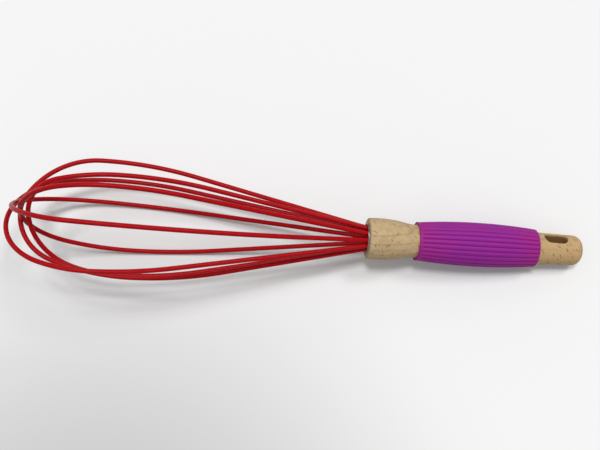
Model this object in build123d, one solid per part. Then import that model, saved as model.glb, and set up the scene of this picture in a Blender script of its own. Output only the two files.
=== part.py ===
"""Balloon whisk lying on a table: five coated wire loops in a turned beech handle with a ribbed grip.

The whisk is drawn along the X axis, with the outermost wire at x = 0 and the handle end at +X.
It is then laid down, so that its lowest wires and the handle end touch the plane z = 0.
"""
from build123d import *
from math import acos, asin, atan2, cos, degrees, hypot, radians, sin, sqrt, tan
import os

os.makedirs("parts", exist_ok=True)

# Wire loops, numbered from the outermost tip inwards
loop_count = 5
wire_diameter = 1.4
coat_diameter = 2.4
coat_clearance = 0.03
cage_length = 183.1
belly_radius = 32.0
mouth_bend_radius = 24.0
mouth_bend_reach = 1.2
leg_ring_radius = 5.9
nest_depth = 11.4
belly_turn = 20.0
widest_shoulder_share = 0.96

# Where each loop stands in the ring, and how far its own bends depart from an even balloon
ring_place_shares = (-1.45, -0.52, -2.34, 0.43, 1.46)
tip_setback_shares = (0.0, 0.29, 0.51, 0.72, 1.0)
apex_offset_shares = (-0.088, -0.048, -0.16, 0.125, 0.12)
lean_shares = (-0.047, 0.18, -0.069, -0.001, -0.037)
front_belly_radius_shares = (1.023, 1.113, 0.84, 1.265, 0.852)
back_belly_radius_shares = (1.107, 1.162, 1.056, 1.04, 0.93)
front_belly_place_shares = (0.259, 0.204, 0.353, 0.289, 0.308)
back_belly_place_shares = (0.258, 0.265, 0.243, 0.342, 0.307)
front_belly_turn_shares = (1.08, 1.6, 1.0, 0.97, 0.77)
back_belly_turn_shares = (0.97, 1.04, 3.2, 1.26, 1.01)
front_shoulder_radius_shares = (0.92, 1.9, 1.13, 0.68, 1.21)
back_shoulder_radius_shares = (0.92, 0.99, 1.1, 0.85, 1.05)

# Drawn steel cup that holds the wires in the handle, its centre plug and the potting resin
cup_length = 30.0
cup_wall = 0.5
cup_stand_out = 0.6
cup_base_round = 1.2
cup_fit = 0.02
wire_side_clearance = 0.4
coat_depth = 15.0
wire_end_clearance = 1.5
plug_recess = 1.2
plug_dome_height = 0.9
plug_clearance = 0.1
resin_cover = 2.5

# Turned beech handle, measured from its mouth
tail_length = 26.0
mouth_radius = 10.7
mouth_lip_round = 1.0
collar_radius = 10.85
collar_crest_from_mouth = 6.0
collar_length = 26.0
waist_radius = 8.6
cove_start_share = 0.69
seat_radius = 10.1
seat_end_radius = 8.5
tail_radius = 7.9
crown_radius = 12.8
tail_round = 4.5
bore_end_clearance = 0.5

# Hanging slot through the handle's tail
slot_length = 12.8
slot_width = 6.2
slot_from_end = 16.0
slot_turn = 40.0
slot_edge_round = 0.5

# Ribbed silicone grip, stretched over the handle's barrel
grip_length = 64.0
grip_end_radius = 9.95
grip_crest_radius = 11.6
grip_edge_round = 0.3
grip_fit = 0.02
grip_lip_length = 1.0
grip_lip_height = 0.15
rib_count = 26
groove_width = 2.1
groove_depth = 0.55
groove_flank_angle = 50.0
groove_overrun = 0.2

# Places along the axis and radii that follow from the sizes above
wire_radius = wire_diameter / 2
coat_radius = coat_diameter / 2
mouth_bend_x = cage_length - mouth_bend_reach
cup_inner_radius = leg_ring_radius + coat_radius + wire_side_clearance
cup_outer_radius = cup_inner_radius + cup_wall
cup_front_x = cage_length - cup_stand_out
cup_back_x = cup_front_x + cup_length
cup_floor_x = cup_back_x - cup_wall
plug_radius = leg_ring_radius - coat_radius - plug_clearance
coat_end_x = cup_front_x + coat_depth
wire_end_x = cup_floor_x - wire_end_clearance
grip_start_x = cage_length + collar_length
grip_end_x = grip_start_x + grip_length
grip_middle_x = (grip_start_x + grip_end_x) / 2
handle_end_x = grip_end_x + tail_length
settling_steps = 8
ring_pitch = 180 / loop_count


def shoulder_arc_radius(belly_x, belly_r, share):
    """Radius of a leg's long arc, short of the one that would take up the whole way to the mouth bend."""
    run = mouth_bend_x - belly_x
    rise = belly_r - leg_ring_radius
    widest = (run**2 + rise**2) / (2 * rise)
    return min(cage_length * share, widest * widest_shoulder_share)


def leg_bends(place_share, radius_share, turn_share, shoulder_share):
    """Place and radius of a leg's belly, the turn of its belly arc and the radius of its shoulder arc."""
    belly_x = cage_length * place_share
    belly_r = belly_radius * radius_share
    return belly_x, belly_r, belly_turn * turn_share, shoulder_arc_radius(belly_x, belly_r, shoulder_share)


def flare_angle(belly_x, belly_r, shoulder_radius):
    """Angle in radians at which a leg runs from the mouth bend to the shoulder arc of its belly."""
    run = mouth_bend_x - belly_x
    rise = leg_ring_radius - belly_r + shoulder_radius
    return atan2(run, rise) - acos(shoulder_radius / hypot(run, rise))


def belly_and_tip_radii(turn, run, rise):
    """Radii of the belly arc and the tip arc that together take a leg through a quarter turn."""
    flat, steep = 1 - cos(turn), 1 - sin(turn)
    span = flat * steep - cos(turn) * sin(turn)
    belly_arc = (rise * steep - run * cos(turn)) / span
    tip_arc = (run * flat - rise * sin(turn)) / span
    return belly_arc, tip_arc


def leg_edges(root_x, tip_x, apex_r, bends):
    """One leg in its loop's plane, from its root in the cup to the loop's apex."""
    belly_x, belly_r, belly_angle, shoulder_radius = bends
    flare = flare_angle(belly_x, belly_r, shoulder_radius)
    angle = degrees(flare)
    bend = mouth_bend_radius * tan(flare / 2)
    bend_start = (mouth_bend_x + bend, leg_ring_radius)
    bend_centre = (mouth_bend_x + bend, leg_ring_radius + mouth_bend_radius)
    bend_end = (mouth_bend_x - bend * cos(flare), leg_ring_radius + bend * sin(flare))
    shoulder_centre = (belly_x, belly_r - shoulder_radius)
    shoulder_start = (
        belly_x + shoulder_radius * sin(flare),
        shoulder_centre[1] + shoulder_radius * cos(flare),
    )
    belly_arc, tip_arc = belly_and_tip_radii(radians(belly_angle), belly_x - tip_x, belly_r - apex_r)
    return [
        Line((root_x, leg_ring_radius), bend_start),
        CenterArc(bend_centre, mouth_bend_radius, 270, -angle),
        Line(bend_end, shoulder_start),
        CenterArc(shoulder_centre, shoulder_radius, 90 - angle, angle),
        CenterArc((belly_x, belly_r - belly_arc), belly_arc, 90, belly_angle),
        CenterArc((tip_x + tip_arc, apex_r), tip_arc, 90 + belly_angle, 90 - belly_angle),
    ]


def loop_path(number, root_x):
    """Centre line of one wire loop with both roots at root_x, in its place round the axis."""
    tip_x = coat_radius + nest_depth * tip_setback_shares[number]
    apex_r = belly_radius * apex_offset_shares[number]
    front_bends = leg_bends(
        front_belly_place_shares[number], front_belly_radius_shares[number],
        front_belly_turn_shares[number], front_shoulder_radius_shares[number],
    )
    back_bends = leg_bends(
        back_belly_place_shares[number], back_belly_radius_shares[number],
        back_belly_turn_shares[number], back_shoulder_radius_shares[number],
    )
    front = leg_edges(root_x, tip_x, apex_r, front_bends)
    back = leg_edges(root_x, tip_x, -apex_r, back_bends)
    path = Wire([*front, *[edge.mirror(Plane.XZ) for edge in back]])
    front_reach = mouth_bend_x - front_bends[0]
    lean = degrees(asin(belly_radius * lean_shares[number] / front_reach))
    turn = ring_pitch * ring_place_shares[number]
    return Rot(X=90 - turn) * Pos(mouth_bend_x) * Rot(Y=-lean) * Pos(-mouth_bend_x) * path


def round_bar(path, radius):
    """Solid round bar of the given radius along a path."""
    section = Plane(origin=path @ 0, z_dir=path % 0) * Circle(radius)
    return sweep(section, path=path)


def wire_core(number):
    """Steel wire of one loop, bare at its two roots."""
    return round_bar(loop_path(number, wire_end_x), wire_radius)


def wire_coating(number):
    """Silicone tube over one wire loop."""
    path = loop_path(number, coat_end_x)
    return round_bar(path, coat_radius) - round_bar(path, wire_radius + coat_clearance)


def turned(outline):
    """Solid turned about the whisk's axis from the edges of a closed outline."""
    return revolve(make_face(outline), Axis.X)


def collar_outline():
    """Mouth lip, swelling collar and cove down to the waist, as tangent arcs."""
    lip_x = cage_length + mouth_lip_round
    shoulder = (lip_x, mouth_radius)
    crest = (cage_length + collar_crest_from_mouth, collar_radius)
    cove_length = collar_length - collar_crest_from_mouth
    drop = collar_radius - waist_radius
    turning = (crest[0] + cove_length * cove_start_share, collar_radius - drop * cove_start_share)
    waist = (grip_start_x, waist_radius)
    return [
        CenterArc((lip_x, mouth_radius - mouth_lip_round), mouth_lip_round, 90, 90),
        TangentArc(crest, shoulder, tangent=(-1, 0)),
        TangentArc(crest, turning, tangent=(1, 0)),
        TangentArc(waist, turning, tangent=(-1, 0)),
    ]


def slot_cutter():
    """Round-ended bar in the place of the hanging slot."""
    bar = extrude(SlotOverall(slot_length, slot_width), amount=collar_radius, both=True)
    return Pos(handle_end_x - slot_from_end) * Rot(X=-slot_turn) * bar


def wood_handle():
    """Turned handle with the cup's bore in its mouth and the hanging slot in its tail."""
    bore_end_x = cup_back_x + bore_end_clearance
    bore_radius = cup_outer_radius + cup_fit
    tail_start = (grip_end_x, seat_end_radius)
    crown_drop = crown_radius - sqrt(crown_radius**2 - tail_radius**2)
    tail_end = (handle_end_x - crown_drop, tail_radius)
    outline = [
        *collar_outline(),
        ThreePointArc((grip_start_x, waist_radius), (grip_middle_x, seat_radius), tail_start),
        Line(tail_start, tail_end),
        TangentArc((handle_end_x, 0), tail_end, tangent=(0, 1)),
        Line((handle_end_x, 0), (bore_end_x, 0)),
        Line((bore_end_x, 0), (bore_end_x, bore_radius)),
        Line((bore_end_x, bore_radius), (cage_length, bore_radius)),
        Line((cage_length, bore_radius), (cage_length, mouth_radius - mouth_lip_round)),
    ]
    section = make_face(outline)
    corner = section.vertices().sort_by_distance(tail_end)[0]
    blank = revolve(fillet(corner, tail_round), Axis.X)
    slot = slot_cutter()
    slotted = blank - slot
    rims = [edge for edge in slotted.edges() - blank.edges() if edge.geom_type == GeomType.BSPLINE]
    return fillet(rims, slot_edge_round)


def groove_cutter(barrel_radius):
    """Cusped groove between two rounded ribs, swung along the sleeve's barrel from the lip past its end."""
    crest = grip_crest_radius
    over = crest + groove_overrun
    half = groove_width / 2 + groove_overrun
    valley = (0, crest - groove_depth)
    left, right = (-half, over), (half, over)
    flank_cos, flank_sin = cos(radians(groove_flank_angle)), sin(radians(groove_flank_angle))
    section = make_face([
        TangentArc(valley, left, tangent=(-flank_cos, flank_sin)),
        Line(left, right),
        TangentArc(valley, right, tangent=(flank_cos, flank_sin)),
    ])
    swing_axis = Axis((grip_middle_x, 0, crest - barrel_radius), (0, 1, 0))
    start_swing = degrees(asin((grip_length / 2 - grip_lip_length) / barrel_radius))
    end_swing = degrees(asin((grip_length / 2 + grip_lip_length) / barrel_radius))
    upright = Plane(origin=(grip_middle_x, 0, 0), x_dir=(0, 1, 0), z_dir=(1, 0, 0)) * section
    return revolve(upright.rotate(swing_axis, -start_swing), swing_axis, start_swing + end_swing)


def grip_sleeve():
    """Barrel-shaped silicone sleeve with lengthwise ribs and a plain lip at the collar end."""
    lip_radius = grip_end_radius + grip_lip_height
    lip_end_x = grip_start_x + grip_lip_length
    start, middle, end = (
        (grip_start_x, grip_end_radius),
        (grip_middle_x, grip_crest_radius),
        (grip_end_x, grip_end_radius),
    )
    seat = ThreePointArc(
        (grip_start_x, waist_radius + grip_fit),
        (grip_middle_x, seat_radius + grip_fit),
        (grip_end_x, seat_end_radius + grip_fit),
    )
    barrel = ThreePointArc(start, middle, end)
    body = make_face([barrel, Line(end, seat @ 1), seat, Line(seat @ 0, start)])
    far_rim = body.vertices().sort_by_distance(end)[0]
    sleeve = revolve(fillet(far_rim, grip_edge_round), Axis.X)
    lip_foot = (lip_end_x + grip_lip_height, grip_end_radius)
    lip_top = [(grip_start_x, lip_radius), (lip_end_x, lip_radius)]
    lip = make_face(Polyline(start, *lip_top, lip_foot, close=True))
    groove = groove_cutter(barrel.radius)
    for number in range(rib_count):
        sleeve -= Rot(X=360 / rib_count * number) * groove
    return sleeve + revolve(lip, Axis.X)


def wire_cup():
    """Drawn steel cup, open towards the cage and rounded at its base."""
    outer = Polyline(
        (cup_front_x, 0), (cup_front_x, cup_outer_radius), (cup_back_x, cup_outer_radius), (cup_back_x, 0),
        close=True,
    )
    inner = Polyline(
        (cup_front_x, 0), (cup_front_x, cup_inner_radius), (cup_floor_x, cup_inner_radius), (cup_floor_x, 0),
        close=True,
    )
    shell = make_face(outer)
    hollow = make_face(inner)
    shell = fillet(shell.vertices().sort_by_distance((cup_back_x, cup_outer_radius))[0], cup_base_round)
    hollow = fillet(
        hollow.vertices().sort_by_distance((cup_floor_x, cup_inner_radius))[0], cup_base_round - cup_wall
    )
    return revolve(shell, Axis.X) - revolve(hollow, Axis.X)


def wire_plug():
    """Round peg in the middle of the ring of wires, domed at its free end."""
    dome_x = cup_front_x + plug_recess
    rim_x = dome_x + plug_dome_height
    return turned([
        TangentArc((dome_x, 0), (rim_x, plug_radius), tangent=(0, 1)),
        Line((rim_x, plug_radius), (cup_floor_x, plug_radius)),
        Line((cup_floor_x, plug_radius), (cup_floor_x, 0)),
        Line((cup_floor_x, 0), (dome_x, 0)),
    ])


def potting_resin(cup, wires):
    """Cast resin that fills the foot of the cup round the plug and the wires' roots."""
    start_x = coat_end_x - resin_cover
    ring = Circle(cup_inner_radius) - Circle(plug_radius)
    block = extrude(Plane.YZ.offset(start_x) * ring, amount=cup_floor_x - start_x)
    return block - cup - wires


def lowest(shapes, tilt):
    """Height of the lowest point of the shapes with the handle end tilted down by an angle."""
    return min((Rot(Y=tilt) * shape).bounding_box().min.Z for shape in shapes)


def rest_tilt(cage, handle):
    """Tilt in degrees at which the cage and the handle end stand on one plane."""
    reach = handle_end_x - cage_length * back_belly_place_shares[0]
    tilt = 0.0
    for _ in range(settling_steps):
        drop = lowest(handle, tilt) - lowest(cage, tilt)
        tilt += degrees(asin(drop / reach))
    return tilt


def build_parts():
    """Every piece of the whisk under its own name, laid down on the table."""
    numbers = range(loop_count)
    cores = [wire_core(number) for number in numbers]
    coats = [wire_coating(number) for number in numbers]
    cup = wire_cup()
    handle = wood_handle()
    parts = {
        "wood_handle": handle,
        "grip_sleeve": grip_sleeve(),
        "wire_cup": cup,
        "wire_plug": wire_plug(),
        "potting_resin": potting_resin(cup, cores + coats),
    }
    for number in numbers:
        parts[f"wire_core_{number + 1}"] = cores[number]
        parts[f"wire_coating_{number + 1}"] = coats[number]
    tilt = rest_tilt(coats, [handle])
    laid = Compound([Rot(Y=tilt) * part for part in parts.values()]).bounding_box()
    place = Pos(-laid.center().X, -laid.center().Y, -laid.min.Z) * Rot(Y=tilt)
    print(f"rest tilt {tilt:.3f} degrees, size {laid.size.X:.2f} x {laid.size.Y:.2f} x {laid.size.Z:.2f}")
    return {name: place * part for name, part in parts.items()}


for name, part in build_parts().items():
    export_step(part, f"parts/{name}.step")
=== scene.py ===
"""Balloon whisk on a pale table: five red coated wire loops, a beech handle and a ribbed violet sleeve.

The pieces are drawn along the whisk's own X axis, with the outermost wire at x = 0, and then laid
down with the tilt and place at which the whisk rests.
"""
from math import acos, asin, atan2, ceil, cos, hypot, pi, radians, sin, sqrt, tan

import bmesh
import bpy
from bpy.props import FloatProperty, FloatVectorProperty, IntProperty, PointerProperty
from mathutils import Matrix, Vector


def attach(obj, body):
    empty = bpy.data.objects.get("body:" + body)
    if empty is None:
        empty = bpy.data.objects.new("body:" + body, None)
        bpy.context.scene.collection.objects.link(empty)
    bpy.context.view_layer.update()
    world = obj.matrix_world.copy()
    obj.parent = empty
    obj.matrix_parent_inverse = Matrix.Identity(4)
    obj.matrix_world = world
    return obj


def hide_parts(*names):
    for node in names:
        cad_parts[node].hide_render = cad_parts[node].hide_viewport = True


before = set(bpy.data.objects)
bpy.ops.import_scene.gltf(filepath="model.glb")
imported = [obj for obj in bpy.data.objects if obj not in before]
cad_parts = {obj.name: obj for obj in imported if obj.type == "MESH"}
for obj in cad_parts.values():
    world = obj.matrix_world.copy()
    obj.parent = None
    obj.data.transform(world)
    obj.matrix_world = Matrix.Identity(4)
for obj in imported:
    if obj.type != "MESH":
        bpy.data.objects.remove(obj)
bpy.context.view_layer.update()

bl_info = {
    "name": "Balloon Whisk",
    "version": (1, 0, 0),
    "blender": (4, 5, 0),
    "location": "3D View > Sidebar > Whisk",
    "description": "Builds the wires, handle, sleeve and fittings of a balloon whisk and sets the stage",
    "category": "Object",
}

MM = 0.001
BODY = "root"

MERGE_DISTANCE = 0.002 * MM
LARGEST_ARC_STEP = radians(5)
SHARP_ANGLE = radians(40)
RIB_SHARP_ANGLE = radians(50)

# How the growth rings and the ray flecks lie in the handle
RING_TURN = radians(33)
GRAIN_SLOPE = radians(23)
FLECK_SLOPE = radians(40)
RING_WIDTH_IN_MM = 3.1
RING_SWAY_IN_MM = 3.0

SILICONE_IOR = 1.41
WOOD_IOR = 1.45

TABLE_RADIUS = 6.0
TABLE_SIDES = 96
# Place and reach of the shade painted on the table
TABLE_SHADE_PLACE = (-100 * MM, -215 * MM, 0.0)
TABLE_SHADE_REACH = 245 * MM

# The way in which each lamp's light falls, and its spread
LAMPS = {
    "high_lamp": ((0.1, -0.17, -1.0), radians(12)),
    "side_lamp": ((-0.43, -0.42, -1.0), radians(14)),
}

# The camera's sensor in millimetres, and how near and how far it sees in metres
SENSOR_WIDTH = 36.0
NEAREST_SEEN, FARTHEST_SEEN = 0.01, 100.0

# How each wire loop departs from an even balloon, from the outermost loop inwards
RING_PLACE_SHARES = (-1.45, -0.52, -2.34, 0.43, 1.46)
TIP_SETBACK_SHARES = (0.0, 0.29, 0.51, 0.72, 1.0)
APEX_OFFSET_SHARES = (-0.088, -0.048, -0.16, 0.125, 0.12)
LEAN_SHARES = (-0.047, 0.18, -0.069, -0.001, -0.037)
LOOP_COUNT = len(RING_PLACE_SHARES)

# Each leg's belly place, belly radius, belly turn and shoulder radius, from the outermost loop inwards
FRONT_LEG_SHARES = (
    (0.259, 1.023, 1.08, 0.92),
    (0.204, 1.113, 1.6, 1.9),
    (0.353, 0.84, 1.0, 1.13),
    (0.289, 1.265, 0.97, 0.68),
    (0.308, 0.852, 0.77, 1.21),
)
BACK_LEG_SHARES = (
    (0.258, 1.107, 0.97, 0.92),
    (0.265, 1.162, 1.04, 0.99),
    (0.243, 1.056, 3.2, 1.1),
    (0.342, 1.04, 1.26, 0.85),
    (0.307, 0.93, 1.01, 1.05),
)


def screen_colour(red, green, blue):
    """Linear colour of one given as it looks on a screen, from 0 to 255."""
    channels = [value / 255 for value in (red, green, blue)]
    return tuple(c / 12.92 if c <= 0.04045 else ((c + 0.055) / 1.055) ** 2.4 for c in channels)


def length(name, description, value):
    """A length property, given in millimetres."""
    return FloatProperty(name=name, description=description, default=value * MM, min=0.0, unit="LENGTH")


def place(name, description, value):
    """A coordinate property, given in millimetres, which may be negative."""
    return FloatProperty(name=name, description=description, default=value * MM, unit="LENGTH")


def angle(name, description, value):
    """An angle property, given in degrees."""
    return FloatProperty(name=name, description=description, default=radians(value), unit="ROTATION")


def colour(name, description, red, green, blue):
    """A colour property, given as it looks on a screen."""
    return FloatVectorProperty(
        name=name, description=description, subtype="COLOR", size=3, min=0.0, max=1.0,
        default=screen_colour(red, green, blue),
    )


def share(name, description, value):
    """A number from 0 to 1."""
    return FloatProperty(
        name=name, description=description, default=value, min=0.0, max=1.0, subtype="FACTOR"
    )


class WhiskRestSettings(bpy.types.PropertyGroup):
    """How the whisk lies on the table."""

    tilt: angle("Tilt", "Fall of the axis from the tip to the handle's end", 6.5804742)
    tip_x: place("Tip X", "Place of the outermost wire's far side along the table", -148.381)
    tip_y: place("Tip Y", "Place of the whisk's axis across the table", -3.198)
    tip_z: place("Tip Z", "Height of the axis at the tip", 41.615)


class WhiskCageSettings(bpy.types.PropertyGroup):
    """Sizes and finish of the wire loops."""

    wire_diameter: length("Wire Diameter", "Diameter of the steel wire", 1.4)
    coat_diameter: length("Coating Diameter", "Diameter over the silicone", 2.4)
    coat_clearance: length("Coating Clearance", "Gap between the wire and its coating", 0.03)
    cage_length: length("Cage Length", "From the outermost wire to the handle's mouth", 183.1)
    belly_radius: length("Belly Radius", "Radius of an even balloon where it is widest", 32.0)
    mouth_bend_radius: length("Mouth Bend Radius", "Radius of the bend at the handle's mouth", 24.0)
    mouth_bend_reach: length("Mouth Bend Reach", "How far the bend stands out of the mouth", 1.2)
    leg_ring_radius: length("Leg Ring Radius", "Radius of the ring of wires in the handle", 5.9)
    nest_depth: length("Nest Depth", "How far the innermost tip lies behind the outermost", 11.4)
    coat_depth: length("Coating Depth", "How far the coating reaches into the cup", 14.4)
    belly_turn: angle("Belly Turn", "Turn of the belly arc before the tip arc takes over", 20.0)
    ring_spacing: length("Ring Spacing", "Distance between two rings of the mesh", 0.9)
    facets: IntProperty(name="Facets", description="Faces round a wire", default=28, min=8, max=64)
    red: colour("Red", "Colour of the silicone", 168, 4, 13)
    bloom: colour("Bloom", "Paler red where the silicone is chalky", 180, 16, 28)


class WhiskHandleSettings(bpy.types.PropertyGroup):
    """Sizes and finish of the turned handle."""

    mouth_radius: length("Mouth Radius", "Radius at the mouth", 10.7)
    mouth_lip_round: length("Mouth Lip Round", "Rounding of the mouth's rim", 1.0)
    bore_radius: length("Bore Radius", "Radius of the bore that holds the cup", 8.02)
    bore_depth: length("Bore Depth", "Depth of the bore", 29.9)
    collar_radius: length("Collar Radius", "Radius at the collar's crest", 10.85)
    collar_crest: length("Collar Crest", "From the mouth to the collar's crest", 6.0)
    collar_length: length("Collar Length", "From the mouth to the sleeve", 26.0)
    waist_radius: length("Waist Radius", "Radius where the sleeve starts", 8.6)
    cove_start_share: share("Cove Start", "Where the collar turns into the cove", 0.69)
    seat_radius: length("Seat Radius", "Radius under the middle of the sleeve", 10.1)
    seat_end_radius: length("Seat End Radius", "Radius where the sleeve ends", 8.5)
    tail_radius: length("Tail Radius", "Radius at the handle's end", 7.9)
    tail_length: length("Tail Length", "From the sleeve to the handle's end", 26.0)
    crown_radius: length("Crown Radius", "Radius of the domed end", 12.8)
    tail_round: length("Tail Round", "Rounding between tail and crown", 4.5)
    slot_length: length("Slot Length", "Length of the hanging slot", 12.8)
    slot_width: length("Slot Width", "Width of the hanging slot", 6.2)
    slot_from_end: length("Slot From End", "From the handle's end to the slot's middle", 16.0)
    slot_edge_round: length("Slot Edge Round", "Rounding of the slot's rims", 0.5)
    slot_turn: angle("Slot Turn", "Turn of the slot from upright", 40.0)
    pale_wood: colour("Pale Wood", "Colour of the early wood", 200, 176, 136)
    dark_wood: colour("Dark Wood", "Colour of the late wood", 164, 132, 90)
    fleck: colour("Fleck", "Colour of the ray flecks", 128, 94, 56)
    tail_wood: colour("Tail Wood", "Warmer wood behind the sleeve", 192, 156, 104)
    # Painted shade: a darker brown on the slot's wall, standing in for the shade inside the slot
    slot_shade_wood: colour("Slot Wood", "Browned wall of the slot", 128, 92, 54)


class WhiskSleeveSettings(bpy.types.PropertyGroup):
    """Sizes and finish of the ribbed sleeve."""

    sleeve_length: length("Length", "Length of the sleeve", 64.0)
    end_radius: length("End Radius", "Radius at both ends", 9.95)
    crest_radius: length("Crest Radius", "Radius over the ribs in the middle", 11.6)
    fit: length("Fit", "Gap between the sleeve and the wood", 0.02)
    lip_length: length("Lip Length", "Length of the plain lip", 1.0)
    lip_height: length("Lip Height", "Height of the lip over the barrel", 0.15)
    edge_round: length("Edge Round", "Rounding of the rims", 0.3)
    rib_count: IntProperty(name="Ribs", description="Number of ribs", default=26, min=3, max=60)
    rib_facets: IntProperty(name="Rib Facets", description="Faces across a rib", default=14, min=4, max=32)
    groove_depth: length("Groove Depth", "Depth of the valleys between ribs", 0.55)
    rib_fullness: FloatProperty(
        name="Rib Fullness", description="Exponent of the rib's round: 2 is a parabola, more is flatter",
        default=2.4, min=1.0, max=8.0,
    )
    violet: colour("Violet", "Colour of the silicone", 143, 29, 144)
    magenta: colour("Magenta", "Redder violet towards both ends", 158, 32, 130)
    # Painted shade: a darker violet put between the ribs, where shade falls
    valley_shade_violet: colour("Valley Violet", "Darker violet between the ribs", 100, 16, 104)


class WhiskFittingsSettings(bpy.types.PropertyGroup):
    """Finishes of the cup, plug, resin and wires inside."""

    cup_steel: colour("Cup Steel", "Colour of the drawn cup", 150, 152, 150)
    wire_steel: colour("Wire Steel", "Colour of the bare wires", 172, 174, 176)
    nylon: colour("Nylon", "Colour of the plug", 60, 60, 58)
    resin: colour("Resin", "Colour of the potting resin", 206, 196, 170)


class WhiskStageSettings(bpy.types.PropertyGroup):
    """Floor, lamps and camera."""

    floor: colour("Floor", "Colour of the table", 244, 244, 244)
    floor_shade: colour("Floor Shade", "Colour of the table where it is darkest", 203, 203, 204)
    floor_bounce: colour("Floor Bounce", "Colour with which the table lights the whisk", 140, 140, 140)
    room: share("Room Light", "Strength of the even light from all round", 0.43)
    high_lamp: FloatProperty(name="High Lamp", description="Light of the lamp overhead", default=1.2, min=0.0)
    side_lamp: FloatProperty(name="Side Lamp", description="Light of the lamp behind", default=0.8, min=0.0)
    azimuth: angle("Azimuth", "Camera's turn round the whisk", 2.323)
    elevation: angle("Elevation", "Camera's height above the table", 79.796)
    distance: length("Distance", "From the camera to the point that it looks at", 433.63)
    aim_right: place("Aim Right", "Offset of the view to the camera's right", -1.39)
    aim_up: place("Aim Up", "Offset of the view upwards in the picture", 6.064)
    lens: FloatProperty(name="Lens", description="Focal length in millimetres", default=47.641, min=1.0)


SETTINGS = {
    "whisk_rest": WhiskRestSettings,
    "whisk_cage": WhiskCageSettings,
    "whisk_handle": WhiskHandleSettings,
    "whisk_sleeve": WhiskSleeveSettings,
    "whisk_fittings": WhiskFittingsSettings,
    "whisk_stage": WhiskStageSettings,
}


class Socket:
    """A node's output that Python's arithmetic works on: each operation adds its Math node."""

    def __init__(self, board, socket):
        self.board = board
        self.socket = socket

    def other(self, name):
        """Another output of the same node."""
        return Socket(self.board, self.socket.node.outputs[name])

    def axis(self, name):
        """One coordinate of a vector."""
        return self.board.add("ShaderNodeSeparateXYZ", inputs=[self]).other(name)

    def __add__(self, value):
        return self.board.math("ADD", self, value)

    __radd__ = __add__

    def __sub__(self, value):
        return self.board.math("SUBTRACT", self, value)

    def __rsub__(self, value):
        return self.board.math("SUBTRACT", value, self)

    def __mul__(self, value):
        return self.board.math("MULTIPLY", self, value)

    __rmul__ = __mul__

    def __truediv__(self, value):
        return self.board.math("DIVIDE", self, value)

    def __rtruediv__(self, value):
        return self.board.math("DIVIDE", value, self)

    def __pow__(self, value):
        return self.board.math("POWER", self, value)

    def __rpow__(self, value):
        return self.board.math("POWER", value, self)

    def __abs__(self):
        return self.board.math("ABSOLUTE", self)

    def fraction(self):
        return self.board.math("FRACT", self)

    def at_least(self, value):
        return self.board.math("MAXIMUM", self, value)

    def at_most(self, value):
        return self.board.math("MINIMUM", self, value)

    def rise(self, low, high):
        """Smooth step from 0 at low to 1 at high, which may be the lower of the two."""
        return self.board.add(
            "ShaderNodeMapRange", {"interpolation_type": "SMOOTHSTEP"},
            {"Value": self, "From Min": low, "From Max": high},
        )


class Board:
    """Adds nodes to one node tree, each from its type, its settings and what feeds its sockets."""

    def __init__(self, tree):
        self.tree = tree

    def add(self, kind, settings=None, inputs=(), output=0):
        """One output of a new node, or the node itself where it has none."""
        node = self.tree.nodes.new(kind)
        for name, value in (settings or {}).items():
            setattr(node, name, value)
        for key, value in inputs.items() if isinstance(inputs, dict) else enumerate(inputs):
            self.feed(node.inputs[key], value)
        return Socket(self, node.outputs[output]) if node.outputs else node

    def feed(self, socket, value):
        if isinstance(value, Socket):
            self.tree.links.new(value.socket, socket)
        elif socket.type == "RGBA" and len(value) == 3:
            socket.default_value = (*value, 1.0)
        else:
            socket.default_value = value

    def math(self, operation, *values):
        return self.add("ShaderNodeMath", {"operation": operation}, values)

    def vector_math(self, operation, *values, output=0):
        return self.add("ShaderNodeVectorMath", {"operation": operation}, values, output)

    def mix(self, factor, first, second):
        """First colour where the factor is 0, second where it is 1."""
        return self.add("ShaderNodeMix", {"data_type": "RGBA"}, {0: factor, 6: first, 7: second}, output=2)

    def seen(self):
        """1 on what the camera sees, also in reflections and through clear pieces, and 0 for other rays."""
        rays = self.add("ShaderNodeLightPath")
        direct = rays.other("Is Camera Ray").at_least(rays.other("Is Glossy Ray"))
        return direct.at_least(rays.other("Is Transmission Ray"))


class ShapeBoard(Board):
    """Nodes of a new geometry node tree, which has the named inputs and one for the material."""

    def __init__(self, name, sockets):
        super().__init__(bpy.data.node_groups.new(name, "GeometryNodeTree"))
        interface = self.tree.interface
        interface.new_socket("Geometry", in_out="OUTPUT", socket_type="NodeSocketGeometry")
        self.identifiers = {}
        for socket, kind in {"Geometry": "Geometry", **sockets, "Material": "Material"}.items():
            item = interface.new_socket(socket, in_out="INPUT", socket_type="NodeSocket" + kind)
            self.identifiers[socket] = item.identifier
        self.given = self.add("NodeGroupInput")

    def store(self, geometry, name, value, kind="FLOAT"):
        """Geometry with a value stored at its points."""
        return self.add(
            "GeometryNodeStoreNamedAttribute", {"data_type": kind, "domain": "POINT"},
            {"Geometry": geometry, "Name": name, "Value": value},
        )

    def stored(self, name, kind="FLOAT"):
        """The value stored under a name."""
        return self.add("GeometryNodeInputNamedAttribute", {"data_type": kind}, {"Name": name})

    def end(self, geometry, helpers):
        """Drops the helping attributes, makes instances real, sets the material and feeds the output."""
        for name in helpers:
            geometry = self.add("GeometryNodeRemoveAttribute", inputs={"Geometry": geometry, "Name": name})
        geometry = self.add("GeometryNodeRealizeInstances", inputs={"Geometry": geometry})
        inputs = {"Geometry": geometry, "Material": self.given.other("Material")}
        self.add("NodeGroupOutput", inputs=[self.add("GeometryNodeSetMaterial", inputs=inputs)])


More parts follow.
